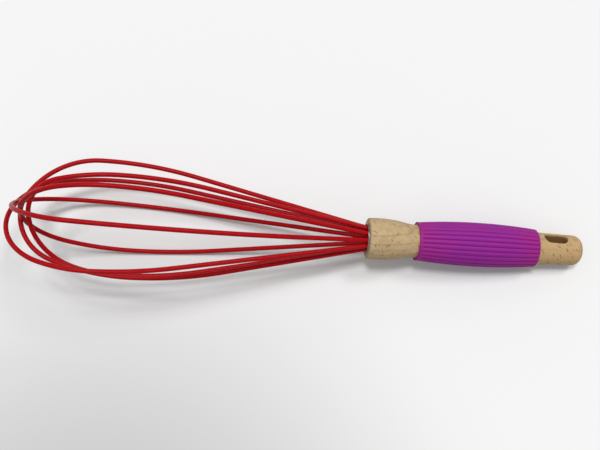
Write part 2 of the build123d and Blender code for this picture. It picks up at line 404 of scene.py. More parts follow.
class Finish(Board):
    """A material's nodes, with the whisk's own coordinates in millimetres."""

    def __init__(self, name, **constants):
        self.material = bpy.data.materials.new(name)
        self.material.use_nodes = True
        super().__init__(self.material.node_tree)
        self.set(**constants)

    def set(self, **sockets):
        """Feeds the shader's sockets, whose names have underscores for spaces here."""
        shader = self.tree.nodes["Principled BSDF"]
        for socket, value in sockets.items():
            self.feed(shader.inputs[socket.replace("_", " ")], value)

    def bump(self, height, strength, distance):
        """Relief from a height in the given distance."""
        inputs = {"Strength": strength, "Distance": distance, "Height": height}
        self.set(Normal=self.add("ShaderNodeBump", inputs=inputs))

    def whisk_coordinates(self, turn=0.0, slope=0.0):
        """Object coordinates along the whisk's axis in millimetres, turned about it and then sloped."""
        from_row = whisk_to_row(bpy.context.scene.whisk_rest).inverted()
        view = Matrix.Rotation(slope, 4, "Z") @ Matrix.Rotation(turn, 4, "X") @ from_row
        inputs = {
            "Vector": self.add("ShaderNodeTexCoord", output="Object"),
            "Location": view.translation / MM,
            "Rotation": view.to_euler("XYZ"),
            "Scale": (1 / MM, 1 / MM, 1 / MM),
        }
        return self.add("ShaderNodeMapping", {"vector_type": "POINT"}, inputs)

    def stretched(self, vector, scale):
        """The vector with each of its axes scaled."""
        return self.vector_math("MULTIPLY", vector, scale)

    def noise(self, vector, scale, detail=2.0, roughness=0.5):
        """Noise round 0.5, at one scale per unit of the vector or at one for each axis."""
        if isinstance(scale, tuple):
            vector, scale = self.stretched(vector, scale), 1.0
        inputs = {"Vector": vector, "Scale": scale, "Detail": detail, "Roughness": roughness}
        return self.add("ShaderNodeTexNoise", inputs=inputs)


def whisk_to_row(rest):
    """Matrix that lays the whisk's own frame down on the table."""
    return Matrix.Translation((rest.tip_x, rest.tip_y, rest.tip_z)) @ Matrix.Rotation(rest.tilt, 4, "Y")


def arc_points(centre, radius, start, turn, spacing):
    """Points along an arc in a plane after its first one, from an angle through a turn in radians."""
    count = max(2, ceil(abs(turn) * radius / spacing), ceil(abs(turn) / LARGEST_ARC_STEP))
    angles = [start + turn * step / count for step in range(1, count + 1)]
    return [(centre[0] + radius * cos(a), centre[1] + radius * sin(a)) for a in angles]


def line_points(start, end, spacing):
    """Points along a line after its first one."""
    count = max(1, ceil(hypot(end[0] - start[0], end[1] - start[1]) / spacing))
    shares = [step / count for step in range(1, count + 1)]
    return [(start[0] + (end[0] - start[0]) * s, start[1] + (end[1] - start[1]) * s) for s in shares]


def arc_between(centre, radius, start, end, rising, spacing):
    """Points of an arc from a start to an end, after the start, with a rising or a falling angle."""
    first = atan2(start[1] - centre[1], start[0] - centre[0])
    last = atan2(end[1] - centre[1], end[0] - centre[0])
    turn = (last - first) % (2 * pi) if rising else -((first - last) % (2 * pi))
    return arc_points(centre, radius, first, turn, spacing)


def tangent_arc_points(start, direction, end, spacing):
    """Points of the arc that leaves its start in a direction and reaches its end, after the start."""
    reach = (end[0] - start[0], end[1] - start[1])
    side = (-direction[1], direction[0])
    lean = reach[0] * side[0] + reach[1] * side[1]
    radius = (reach[0] ** 2 + reach[1] ** 2) / (2 * lean)
    centre = (start[0] + side[0] * radius, start[1] + side[1] * radius)
    return arc_between(centre, abs(radius), start, end, radius > 0, spacing)


def three_point_arc_points(start, middle, end, spacing):
    """Points of the arc from a start through a middle to an end, after the start."""
    ax, ay = middle[0] - start[0], middle[1] - start[1]
    bx, by = end[0] - start[0], end[1] - start[1]
    cross = 2 * (ax * by - ay * bx)
    a_square, b_square = ax * ax + ay * ay, bx * bx + by * by
    centre = (
        start[0] + (by * a_square - ay * b_square) / cross,
        start[1] + (ax * b_square - bx * a_square) / cross,
    )
    radius = hypot(start[0] - centre[0], start[1] - centre[1])
    return arc_between(centre, radius, start, end, cross > 0, spacing)


def leg_points(cage, tip_x, apex_r, leg_shares):
    """One leg in its loop's plane, from its root in the cup to the loop's apex."""
    place_share, radius_share, turn_share, shoulder_share = leg_shares
    belly_x = cage.cage_length * place_share
    belly_r = cage.belly_radius * radius_share
    belly_turn = cage.belly_turn * turn_share
    shoulder_radius = cage.cage_length * shoulder_share
    bend_x = cage.cage_length - cage.mouth_bend_reach
    run = bend_x - belly_x
    rise = cage.leg_ring_radius - belly_r + shoulder_radius
    flare = atan2(run, rise) - acos(shoulder_radius / hypot(run, rise))
    root = (cage.cage_length + cage.coat_depth, cage.leg_ring_radius)
    bend_start = (bend_x + cage.mouth_bend_radius * tan(flare / 2), cage.leg_ring_radius)
    bend_centre = (bend_start[0], cage.leg_ring_radius + cage.mouth_bend_radius)
    shoulder_centre = (belly_x, belly_r - shoulder_radius)
    shoulder_start = (
        belly_x + shoulder_radius * sin(flare),
        shoulder_centre[1] + shoulder_radius * cos(flare),
    )
    belly_arc, tip_arc = belly_and_tip_radii(belly_turn, belly_x - tip_x, belly_r - apex_r)
    tip_turn = pi / 2 - belly_turn
    spacing = cage.ring_spacing
    points = [root]
    points += line_points(root, bend_start, spacing)
    points += arc_points(bend_centre, cage.mouth_bend_radius, -pi / 2, -flare, spacing)
    points += line_points(points[-1], shoulder_start, spacing)
    points += arc_points(shoulder_centre, shoulder_radius, pi / 2 - flare, flare, spacing)
    points += arc_points((belly_x, belly_r - belly_arc), belly_arc, pi / 2, belly_turn, spacing)
    return points + arc_points((tip_x + tip_arc, apex_r), tip_arc, pi - tip_turn, tip_turn, spacing)


def belly_and_tip_radii(turn, run, rise):
    """Radii of the belly arc and the tip arc that together take a leg through a quarter turn."""
    flat, steep = 1 - cos(turn), 1 - sin(turn)
    span = flat * steep - cos(turn) * sin(turn)
    belly_arc = (rise * steep - run * cos(turn)) / span
    tip_arc = (run * flat - rise * sin(turn)) / span
    return belly_arc, tip_arc


def loop_points(cage, number):
    """Centre line of one wire loop in the whisk's frame, in its place round the axis."""
    bend_x = cage.cage_length - cage.mouth_bend_reach
    tip_x = cage.coat_diameter / 2 + cage.nest_depth * TIP_SETBACK_SHARES[number]
    apex_r = cage.belly_radius * APEX_OFFSET_SHARES[number]
    front = leg_points(cage, tip_x, apex_r, FRONT_LEG_SHARES[number])
    back = leg_points(cage, tip_x, -apex_r, BACK_LEG_SHARES[number])
    back_from_apex = [(x, -r) for x, r in back[-2::-1]]
    belly_x = cage.cage_length * FRONT_LEG_SHARES[number][0]
    lean = asin(cage.belly_radius * LEAN_SHARES[number] / (bend_x - belly_x))
    turn = pi / LOOP_COUNT * RING_PLACE_SHARES[number]
    about_mouth = Matrix.Translation((bend_x, 0, 0)) @ Matrix.Rotation(-lean, 4, "Y")
    swing = Matrix.Rotation(pi / 2 - turn, 4, "X") @ about_mouth @ Matrix.Translation((-bend_x, 0, 0))
    return [swing @ Vector((x, r, 0)) for x, r in front + back_from_apex]


def polyline_mesh(name, points, closed=False):
    """Mesh of edges through points."""
    mesh = bpy.data.meshes.new(name)
    edges = [(step, step + 1) for step in range(len(points) - 1)]
    if closed:
        edges.append((len(points) - 1, 0))
    mesh.from_pydata(points, edges, [])
    return mesh


def add_piece(name, mesh):
    """Object of the mesh at the origin, in the scene."""
    piece = bpy.data.objects.new(name, mesh)
    bpy.context.scene.collection.objects.link(piece)
    return piece


def shaped_mesh(name, source, board, values):
    """Plain mesh that a board's geometry nodes make of a source mesh with the given inputs."""
    maker = add_piece(name + "_maker", source)
    modifier = maker.modifiers.new("Shape", "NODES")
    modifier.node_group = board.tree
    for socket, value in values.items():
        modifier[board.identifiers[socket]] = value
    graph = bpy.context.evaluated_depsgraph_get()
    mesh = bpy.data.meshes.new_from_object(maker.evaluated_get(graph))
    maker.modifiers.remove(modifier)
    bpy.data.objects.remove(maker)
    bpy.data.meshes.remove(source)
    if not mesh.polygons:
        raise RuntimeError(f"{name} came out empty")
    return mesh


def finish_mesh(mesh, name, material, matrix, sharp=SHARP_ANGLE):
    """Merges doubles, turns the faces outwards, lays the mesh down and smooths it up to an angle."""
    shape = bmesh.new()
    shape.from_mesh(mesh)
    bmesh.ops.remove_doubles(shape, verts=shape.verts, dist=MERGE_DISTANCE)
    bmesh.ops.recalc_face_normals(shape, faces=shape.faces)
    if shape.calc_volume(signed=True) < 0:
        bmesh.ops.reverse_faces(shape, faces=shape.faces)
    shape.transform(matrix)
    open_edges = [edge for edge in shape.edges if not edge.is_manifold]
    shape.to_mesh(mesh)
    shape.free()
    if open_edges:
        raise RuntimeError(f"{name} has {len(open_edges)} open edges")
    mesh.shade_smooth()
    mesh.set_sharp_from_angle(angle=sharp)
    mesh.materials.clear()
    mesh.materials.append(material)
    mesh.name = name
    return add_piece(name, mesh)


def coating_nodes():
    """Tube along a line: an outer skin, a bore and a flat ring at each end."""
    board = ShapeBoard("Coating", {"Outer Radius": "Float", "Bore Radius": "Float", "Facets": "Int"})
    given = board.given
    outer, bore, facets = given.other("Outer Radius"), given.other("Bore Radius"), given.other("Facets")
    position = board.add("GeometryNodeInputPosition")
    line = board.add("GeometryNodeMeshToCurve", inputs={"Mesh": given})
    line = board.store(line, "centre", position, "FLOAT_VECTOR")
    centre = board.stored("centre", "FLOAT_VECTOR")

    def skin(radius):
        ring = board.add("GeometryNodeCurvePrimitiveCircle", inputs={"Resolution": facets, "Radius": radius})
        return board.add("GeometryNodeCurveToMesh", inputs={"Curve": line, "Profile Curve": ring})

    faces_at_edge = board.add("GeometryNodeInputMeshEdgeNeighbors")
    one_face, tolerance = 1.0, 0.5
    at_rim = board.math("COMPARE", faces_at_edge, one_face, tolerance)
    inwards = board.vector_math("SUBTRACT", centre, position)
    extruded = board.add(
        "GeometryNodeExtrudeMesh", {"mode": "EDGES"},
        {"Mesh": skin(outer), "Selection": at_rim, "Offset": inwards, "Offset Scale": 1 - bore / outer},
    )
    outwards = board.vector_math("NORMALIZE", board.vector_math("SUBTRACT", position, centre))
    to_bore = board.add("ShaderNodeVectorMath", {"operation": "SCALE"}, {0: outwards, "Scale": bore})
    on_bore = board.vector_math("ADD", centre, to_bore)
    shell = board.add(
        "GeometryNodeSetPosition",
        inputs={"Geometry": extruded, "Selection": extruded.other("Top"), "Position": on_bore},
    )
    inner = board.add("GeometryNodeFlipFaces", inputs={"Mesh": skin(bore)})
    joined = board.add("GeometryNodeJoinGeometry", inputs={"Geometry": shell})
    board.feed(joined.socket.node.inputs["Geometry"], inner)
    inputs = {"Geometry": joined, "Distance": MERGE_DISTANCE}
    board.end(board.add("GeometryNodeMergeByDistance", inputs=inputs), ["centre"])
    return board


def sleeve_nodes():
    """Turns a closed outline about the X axis and presses rounded ribs into it."""
    board = ShapeBoard(
        "Ribbed Sleeve",
        {"Rib Count": "Int", "Rib Facets": "Int", "Groove Depth": "Float", "Rib Fullness": "Float"},
    )
    given = board.given
    ribs = given.other("Rib Count")
    steps = ribs * given.other("Rib Facets")
    ring = board.add("GeometryNodeCurvePrimitiveCircle", inputs={"Resolution": steps, "Radius": 1.0})
    ring = board.store(ring, "turn_share", board.add("GeometryNodeInputIndex") / steps)
    outline = board.add("GeometryNodeMeshToCurve", inputs={"Mesh": given})
    skin = board.add("GeometryNodeCurveToMesh", inputs={"Curve": ring, "Profile Curve": outline})
    turn_share = board.stored("turn_share")
    from_valley = abs((turn_share * ribs + 0.5).fraction() - 0.5)
    hollow = (1 - 2 * from_valley) ** given.other("Rib Fullness")
    skin = board.store(skin, "valley", board.stored("rib_share") * hollow)
    reach = board.stored("reach") - given.other("Groove Depth") * board.stored("valley")
    turn = turn_share * (2 * pi)
    place_on_skin = board.add("ShaderNodeCombineXYZ", inputs=[
        board.stored("along"), reach * board.math("SINE", turn), reach * board.math("COSINE", turn),
    ])
    skin = board.add("GeometryNodeSetPosition", inputs={"Geometry": skin, "Position": place_on_skin})
    board.end(skin, ["turn_share", "along", "reach", "rib_share"])
    return board


def red_silicone(cage):
    """Satin red silicone with a faint chalky bloom and fine pits."""
    bloom_strength, smoothest, pit_dullness = 0.5, 0.24, 0.16
    finish = Finish("red_silicone", IOR=SILICONE_IOR, Specular_IOR_Level=0.12)
    position = finish.whisk_coordinates()
    bloom = finish.noise(position, scale=0.35, detail=3.0).rise(0.35, 0.75)
    pits = finish.noise(position, scale=6.0)
    finish.set(
        Base_Color=finish.mix(bloom * bloom_strength, cage.red, cage.bloom),
        Roughness=smoothest + pit_dullness * pits,
    )
    finish.bump(pits, strength=0.25, distance=0.02 * MM)
    return finish.material


def violet_silicone(sleeve, middle_x):
    """Matt violet silicone, redder towards its ends, with painted shade between the ribs and a fine tooth."""
    end_redness, patch_redness, painted_valley_shade = 0.7, 0.3, 0.6
    smoothest, tooth_dullness = 0.46, 0.14
    middle_share = 0.35
    finish = Finish("violet_silicone", IOR=SILICONE_IOR, Specular_IOR_Level=0.25)
    position = finish.whisk_coordinates()
    half = sleeve.sleeve_length / (2 * MM)
    end = abs(position.axis("X") - middle_x / MM).rise(middle_share * half, half)
    patches = finish.noise(position, scale=0.09).rise(0.35, 0.7)
    tooth = finish.noise(position, scale=9.0, detail=3.0, roughness=0.6)
    # Mask of the valleys between the ribs, where painted shade darkens the violet
    valley = finish.add("ShaderNodeAttribute", {"attribute_name": "valley"}, output="Fac").rise(0.35, 1.0)
    skin = finish.mix(end_redness * end + patch_redness * patches, sleeve.violet, sleeve.magenta)
    finish.set(
        Base_Color=finish.mix(valley * painted_valley_shade, skin, sleeve.valley_shade_violet),
        Roughness=smoothest + tooth_dullness * tooth,
    )
    finish.bump(tooth, strength=0.3, distance=0.03 * MM)
    return finish.material


def beech(handle, tail_x):
    """Turned beech: growth rings that outcrop on the collar, streaks along the grain, dark ray flecks and
    painted shade on the slot's wall.
    """
    even_shade, ring_shade, streak_shade, mottle_shade = 0.3, 0.4, 1.7, 0.8
    fleck_shade, slot_shade, tail_warmth, mottle_warmth = 0.75, 0.85, 0.35, 0.5
    dullness, streak_dullness, fleck_dullness = 0.52, 0.2, 0.1
    fleck_depth = 0.6
    finish = Finish("beech", IOR=WOOD_IOR, Specular_IOR_Level=0.3)
    grain = finish.whisk_coordinates(turn=RING_TURN, slope=GRAIN_SLOPE)
    rays = finish.whisk_coordinates(turn=RING_TURN, slope=FLECK_SLOPE)
    straight = finish.whisk_coordinates()

    sway = finish.noise(grain, scale=(0.05, 0.12, 0.12)) - 0.5
    phase = ((grain.axis("Z") + sway * RING_SWAY_IN_MM) / RING_WIDTH_IN_MM).fraction()
    late_wood = phase.rise(0.72, 0.95) * (1 - phase.rise(0.95, 1.0))
    mottle = finish.noise(grain, scale=(0.12, 0.3, 0.3), detail=3.0)
    streak = finish.noise(rays, scale=(0.3, 2.4, 1.0), detail=4.0, roughness=0.6)
    shade = late_wood * ring_shade + (streak - 0.5) * streak_shade + (mottle - 0.5) * mottle_shade
    shade = (shade + even_shade).at_least(0.0).at_most(1.0)

    cells = finish.add(
        "ShaderNodeTexVoronoi", {"voronoi_dimensions": "3D", "feature": "F1"},
        {"Vector": finish.stretched(rays, (0.24, 1.2, 0.4)), "Scale": 1.0, "Randomness": 1.0},
    )
    chosen = finish.add("ShaderNodeSeparateColor", inputs=[cells.other("Color")]).rise(0.4, 0.5)
    fleck = chosen * (1 - cells.other("Distance").rise(0.2, 0.36))

    off_axis = finish.vector_math("LENGTH", finish.stretched(straight, (0.0, 1.0, 1.0)), output="Value")
    tail_radius, tail_start = handle.tail_radius / MM, tail_x / MM
    # The slot's wall lies near the axis, and painted shade darkens it there
    slot_start_share, slot_end_share = 0.8, 0.95
    slot_shade_mask = 1 - off_axis.rise(slot_start_share * tail_radius, slot_end_share * tail_radius)
    warm = straight.axis("X").rise(tail_start - 1, tail_start + 1) * (tail_warmth + mottle_warmth * mottle)

    wood = finish.mix(warm, finish.mix(shade, handle.pale_wood, handle.dark_wood), handle.tail_wood)
    wood = finish.mix(fleck * fleck_shade, wood, handle.fleck)
    finish.set(
        Base_Color=finish.mix(slot_shade * slot_shade_mask, wood, handle.slot_shade_wood),
        Roughness=dullness + streak_dullness * (streak - 0.5) + fleck_dullness * fleck,
    )
    finish.bump(streak - fleck_depth * fleck, strength=0.35, distance=0.05 * MM)
    return finish.material


def fitting_finish(name, tint, scale, roughness, metallic, darkening, dulling, relief):
    """Finish whose faint marks darken, dull and raise it."""
    finish = Finish(name, Metallic=metallic)
    marks = finish.noise(finish.whisk_coordinates(), scale, detail=3.0)
    darker = tuple(value * (1 - darkening) for value in tint)
    finish.set(Base_Color=finish.mix(marks, tint, darker), Roughness=roughness + dulling * marks)
    finish.bump(marks, strength=0.2, distance=relief)
    return finish.material


def dress_node(name, material):
    """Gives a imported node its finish."""
    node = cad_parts[name]
    node.data.materials.clear()
    node.data.materials.append(material)


class WHISK_OT_wires(bpy.types.Operator):
    """Build the silicone coatings of the five wire loops"""

    bl_idname = "whisk.wires"
    bl_label = "Coated Wires"

    def execute(self, context):
        cage = context.scene.whisk_cage
        material = red_silicone(cage)
        board = coating_nodes()
        values = {
            "Outer Radius": cage.coat_diameter / 2,
            "Bore Radius": cage.wire_diameter / 2 + cage.coat_clearance,
            "Facets": cage.facets,
            "Material": material,
        }
        for number in range(LOOP_COUNT):
            name = f"coating_{number + 1}"
            line = polyline_mesh(name, loop_points(cage, number))
            mesh = shaped_mesh(name, line, board, values)
            piece = finish_mesh(mesh, name, material, whisk_to_row(context.scene.whisk_rest))
            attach(piece, BODY)
            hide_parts(f"wire_coating_{number + 1}")
        return {"FINISHED"}


def crown_drop(handle):
    """How far the domed end's middle stands beyond its rim, were there no rounding between them."""
    return handle.crown_radius - sqrt(handle.crown_radius**2 - handle.tail_radius**2)


def collar_points(handle, mouth_x, spacing):
    """Outline of the mouth's rim, the swelling collar and the cove down to the waist."""
    lip_x = mouth_x + handle.mouth_lip_round
    lip_r = handle.mouth_radius - handle.mouth_lip_round
    crest = (mouth_x + handle.collar_crest, handle.collar_radius)
    cove_length = handle.collar_length - handle.collar_crest
    drop = handle.collar_radius - handle.waist_radius
    turning = (crest[0] + cove_length * handle.cove_start_share, crest[1] - drop * handle.cove_start_share)
    waist = (mouth_x + handle.collar_length, handle.waist_radius)
    points = arc_points((lip_x, lip_r), handle.mouth_lip_round, pi, -pi / 2, spacing)
    swell = tangent_arc_points(crest, (-1, 0), (lip_x, handle.mouth_radius), spacing)
    points += swell[-2::-1] + [crest]
    points += tangent_arc_points(crest, (1, 0), turning, spacing)
    cove = tangent_arc_points(waist, (-1, 0), turning, spacing)
    return points + cove[-2::-1] + [waist]


def tail_points(handle, start, end_x, spacing):
    """Outline of the straight tail, its rounding and the domed end, after the tail's start."""
    run = end_x - crown_drop(handle) - start[0]
    fall = handle.tail_radius - start[1]
    span = hypot(run, fall)
    along = (run / span, fall / span)
    inside = (along[1], -along[0])
    crown_x = end_x - handle.crown_radius
    base = (start[0] + inside[0] * handle.tail_round, start[1] + inside[1] * handle.tail_round)
    towards = (base[0] - crown_x, base[1])
    half = towards[0] * along[0] + towards[1] * along[1]
    rest = towards[0] ** 2 + towards[1] ** 2 - (handle.crown_radius - handle.tail_round) ** 2
    reach = -half + sqrt(half**2 - rest)
    centre = (base[0] + along[0] * reach, base[1] + along[1] * reach)
    first = atan2(-inside[1], -inside[0])
    last = atan2(centre[1], centre[0] - crown_x)
    tangent = (centre[0] - inside[0] * handle.tail_round, centre[1] - inside[1] * handle.tail_round)
    points = line_points(start, tangent, spacing)
    points += arc_points(centre, handle.tail_round, first, last - first, spacing / 2)
    return points + arc_points((crown_x, 0), handle.crown_radius, last, -last, spacing)[:-1]


class HandleMesh:
    """Turned handle of rings about its axis, with the slot woven in: one patch round each of its mouths."""

    # Divisions of the skin, of the patches, and of the slot's rounding and wall
    around = 160
    patch_half_turn_steps = 18
    patch_margin_in_rounds = 3
    patch_rings = 6
    patch_ring_crowding = 0.8
    round_steps = 6
    round_passes = 6
    slope_reach = 0.1 * MM
    wall_steps = 12

    def __init__(self, handle, cage, sleeve):
        self.handle = handle
        self.shape = bmesh.new()
        self.spacing = handle.slot_edge_round
        self.mouth_x = cage.cage_length
        self.grip_start = self.mouth_x + handle.collar_length
        self.tail_start = (self.grip_start + sleeve.sleeve_length, handle.seat_end_radius)
        self.end_x = self.tail_start[0] + handle.tail_length
        self.slot_x = self.end_x - handle.slot_from_end
        tail_run = self.end_x - crown_drop(handle) - self.tail_start[0]
        self.tail_fall = (handle.tail_radius - handle.seat_end_radius) / tail_run

    def tail_radius_at(self, x):
        """Radius of the tail, which tapers a little."""
        return self.tail_start[1] + self.tail_fall * (x - self.tail_start[0])

    def skin_outline(self):
        """Outline of the handle's skin from the bore's rim to near the domed end's middle."""
        handle = self.handle
        grip_middle = ((self.grip_start + self.tail_start[0]) / 2, handle.seat_radius)
        points = line_points(
            (self.mouth_x, handle.bore_radius),
            (self.mouth_x, handle.mouth_radius - handle.mouth_lip_round), self.spacing,
        )
        points += collar_points(handle, self.mouth_x, self.spacing)
        points += three_point_arc_points(points[-1], grip_middle, self.tail_start, 2 * self.spacing)
        return points + tail_points(handle, self.tail_start, self.end_x, self.spacing)

    def bore_outline(self):
        """Outline of the bore from near its floor's middle to its rim."""
        handle = self.handle
        floor_x = self.mouth_x + handle.bore_depth
        floor = line_points((floor_x, 0), (floor_x, handle.bore_radius), 2 * self.spacing)
        return floor + line_points(floor[-1], (self.mouth_x, handle.bore_radius), 2 * self.spacing)

    def ring(self, x, radius):
        """Vertices round the axis."""
        turns = [2 * pi * step / self.around for step in range(self.around)]
        return [self.shape.verts.new((x, radius * sin(t), radius * cos(t))) for t in turns]

    def build(self):
        """Whole handle as a mesh, with the slot's axis along Z."""
        bore, skin = self.bore_outline(), self.skin_outline()
        outline = bore + skin
        rings = [self.ring(x, r) for x, r in outline]
        reach = self.handle.slot_length / 2 + self.patch_margin_in_rounds * self.handle.slot_edge_round
        inside = [
            number for number, (x, _) in enumerate(outline)
            if number > len(bore) and abs(x - self.slot_x) < reach and x > self.tail_start[0]
        ]
        first, last = inside[0], inside[-1]
        half, far = self.patch_half_turn_steps, self.around // 2
        patched = {turn % self.around for turn in range(-half, half)}
        patched |= {far + turn for turn in range(-half, half)}
        for number, (low, high) in enumerate(zip(rings, rings[1:])):
            self.band(low, high, patched if first <= number < last else ())
        self.close(rings[0], outline[0][0])
        self.close(rings[-1], self.end_x)
        patches = [self.weave_patch(rings[first:last + 1], outline[first:last + 1], side) for side in (1, -1)]
        self.join_walls(*patches)
        bmesh.ops.delete(self.shape, geom=[v for v in self.shape.verts if not v.link_faces], context="VERTS")
        mesh = bpy.data.meshes.new("handle")
        self.shape.to_mesh(mesh)
        self.shape.free()
        return mesh

    def band(self, low, high, left_out=()):
        """Faces between two closed rows of vertices, apart from the steps that are left out."""
        for step in range(len(low)):
            if step not in left_out:
                following = (step + 1) % len(low)
                self.shape.faces.new((low[step], low[following], high[following], high[step]))

    def close(self, ring, x):
        """Fan of faces from a ring to the axis."""
        middle = self.shape.verts.new((x, 0, 0))
        for step in range(self.around):
            self.shape.faces.new((ring[step], ring[(step + 1) % self.around], middle))

    def border(self, rings, outline, side):
        """Vertices round a patch with their place along the axis and their turn from the slot's axis."""
        half = self.patch_half_turn_steps
        offset = 0 if side > 0 else self.around // 2
        last = len(rings) - 1
        steps = [(0, turn) for turn in range(-half, half)]
        steps += [(number, half) for number in range(last)]
        steps += [(last, turn) for turn in range(half, -half, -1)]
        steps += [(number, -half) for number in range(last, 0, -1)]
        pitch = 2 * pi / self.around
        return [
            (rings[number][(offset + turn * side) % self.around], outline[number][0], turn * pitch)
            for number, turn in steps
        ]

    def slot_foot(self, x, turn):
        """Nearest point of the slot's middle line to a place on the skin, and the way out from it."""
        spine = (self.handle.slot_length - self.handle.slot_width) / 2
        across = self.tail_radius_at(x) * sin(turn)
        foot = max(-spine, min(spine, x - self.slot_x))
        out = Vector((x - self.slot_x - foot, across))
        return foot, out.normalized()

    def weave_patch(self, rings, outline, side):
        """Skin between a rectangle of the turned grid and one mouth of the slot, and the mouth's rounding."""
        border = self.border(rings, outline, side)
        columns = []
        for vert, x, turn in border:
            foot, out = self.slot_foot(x, turn)
            rim = self.rim_points(foot, out)
            rim_x, rim_across, _ = rim[0]
            rim_turn = asin(rim_across / self.tail_radius_at(rim_x))
            column = [vert]
            for ring in range(1, self.patch_rings):
                s = (ring / self.patch_rings) ** self.patch_ring_crowding
                column.append(self.skin_vert(x + (rim_x - x) * s, turn + (rim_turn - turn) * s, side))
            column += [self.shape.verts.new((px, py, pz * side)) for px, py, pz in rim]
            columns.append(column)
        rows = list(zip(*columns))
        for low, high in zip(rows, rows[1:]):
            self.band(low, high)
        return rows[-1]

    def skin_vert(self, x, turn, side):
        """Vertex on the tail's skin, at a turn from the slot's axis."""
        radius = self.tail_radius_at(x)
        return self.shape.verts.new((x, radius * sin(turn), radius * cos(turn) * side))

    def rim_points(self, foot, out):
        """Rounding of the slot's mouth at one place of its edge, from the skin down to the wall."""
        handle = self.handle
        round_r = handle.slot_edge_round

        def skin_height(offset):
            x = self.slot_x + foot + out.x * offset
            across = out.y * offset
            return sqrt(self.tail_radius_at(x) ** 2 - across**2)

        wall = handle.slot_width / 2
        touch = wall + round_r
        for _ in range(self.round_passes):
            drop = skin_height(touch - self.slope_reach) - skin_height(touch + self.slope_reach)
            fall = atan2(drop, 2 * self.slope_reach)
            touch = wall + round_r * (1 + sin(fall))
        centre_height = skin_height(touch) - round_r * cos(fall)
        points = []
        for step in range(self.round_steps + 1):
            a = (pi / 2 - fall) + (pi / 2 + fall) * step / self.round_steps
            offset = wall + round_r + round_r * cos(a)
            height = centre_height + round_r * sin(a)
            points.append((self.slot_x + foot + out.x * offset, out.y * offset, height))
        return points

    def join_walls(self, top, bottom):
        """Wall of the slot from its upper mouth to its lower one."""
        rows = [top]
        for step in range(1, self.wall_steps):
            s = step / self.wall_steps
            rows.append([self.shape.verts.new(a.co.lerp(b.co, s)) for a, b in zip(top, bottom)])
        rows.append(bottom)
        for upper, lower in zip(rows, rows[1:]):
            self.band(upper, lower)


class WHISK_OT_handle(bpy.types.Operator):
    """Turn the beech handle with its bore and hanging slot"""

    bl_idname = "whisk.handle"
    bl_label = "Beech Handle"

    def execute(self, context):
        scene = context.scene
        handle = scene.whisk_handle
        maker = HandleMesh(handle, scene.whisk_cage, scene.whisk_sleeve)
        mesh = maker.build()
        lay = whisk_to_row(scene.whisk_rest) @ Matrix.Rotation(-handle.slot_turn, 4, "X")
        piece = finish_mesh(mesh, "handle", beech(handle, maker.tail_start[0]), lay)
        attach(piece, BODY)
        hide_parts("wood_handle")
        return {"FINISHED"}


def sleeve_outline(sleeve, handle, start_x):
    """Closed outline of the sleeve's wall with each point's share of the ribs: lip, barrel, rim and seat."""
    middle_x = start_x + sleeve.sleeve_length / 2
    end_x = start_x + sleeve.sleeve_length
    spacing = rib_fade = 2 * sleeve.edge_round
    seat_spacing = 3 * spacing
    lip_end = start_x + sleeve.lip_length
    lip_r = sleeve.end_radius + sleeve.lip_height
    soft = sleeve.lip_height / 2
    barrel = three_point_arc_points(
        (start_x, sleeve.end_radius), (middle_x, sleeve.crest_radius), (end_x, sleeve.end_radius), spacing
    )
    seat = three_point_arc_points(
        (start_x, handle.waist_radius + sleeve.fit), (middle_x, handle.seat_radius + sleeve.fit),
        (end_x, handle.seat_end_radius + sleeve.fit), seat_spacing,
    )
    lip = [(start_x, handle.waist_radius + sleeve.fit)]
    lip += line_points(lip[0], (start_x, lip_r - soft), spacing)
    lip += arc_points((start_x + soft, lip_r - soft), soft, pi, -pi / 2, soft / 2)
    lip += line_points(lip[-1], (lip_end - soft, lip_r), spacing)
    outline = [(x, r, 0.0) for x, r in lip]
    outline += [
        (x, r, min(1.0, (x - lip_end) / rib_fade))
        for x, r in barrel if lip_end < x < end_x - sleeve.edge_round
    ]
    rim_centre = (end_x - sleeve.edge_round, outline[-1][1] - sleeve.edge_round)
    rim = [(rim_centre[0], rim_centre[1] + sleeve.edge_round)]
    rim += arc_points(rim_centre, sleeve.edge_round, pi / 2, -pi / 2, sleeve.edge_round / 4)
    outline += [(x, r, 1.0) for x, r in rim]
    face = line_points(rim[-1], seat[-1], spacing)
    wall = rim[-1][1] - seat[-1][1]
    outline += [(x, r, (r - seat[-1][1]) / wall) for x, r in face]
    return outline + [(x, r, 0.0) for x, r in seat[-2::-1]]


class WHISK_OT_sleeve(bpy.types.Operator):
    """Mould the ribbed silicone sleeve"""

    bl_idname = "whisk.sleeve"
    bl_label = "Ribbed Sleeve"

    def execute(self, context):
        scene = context.scene
        sleeve, handle = scene.whisk_sleeve, scene.whisk_handle
        start_x = scene.whisk_cage.cage_length + handle.collar_length
        outline = sleeve_outline(sleeve, handle, start_x)
        source = polyline_mesh("sleeve_outline", [(x, r, 0) for x, r, _ in outline], closed=True)
        columns = {"along": 0, "reach": 1, "rib_share": 2}
        for attribute, column in columns.items():
            layer = source.attributes.new(attribute, "FLOAT", "POINT")
            layer.data.foreach_set("value", [point[column] for point in outline])
        material = violet_silicone(sleeve, start_x + sleeve.sleeve_length / 2)
        values = {
            "Rib Count": sleeve.rib_count,
            "Rib Facets": sleeve.rib_facets,
            "Groove Depth": sleeve.groove_depth,
            "Rib Fullness": sleeve.rib_fullness,
            "Material": material,
        }
        mesh = shaped_mesh("sleeve", source, sleeve_nodes(), values)
        piece = finish_mesh(mesh, "sleeve", material, whisk_to_row(scene.whisk_rest), RIB_SHARP_ANGLE)
        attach(piece, BODY)
        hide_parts("grip_sleeve")
        return {"FINISHED"}


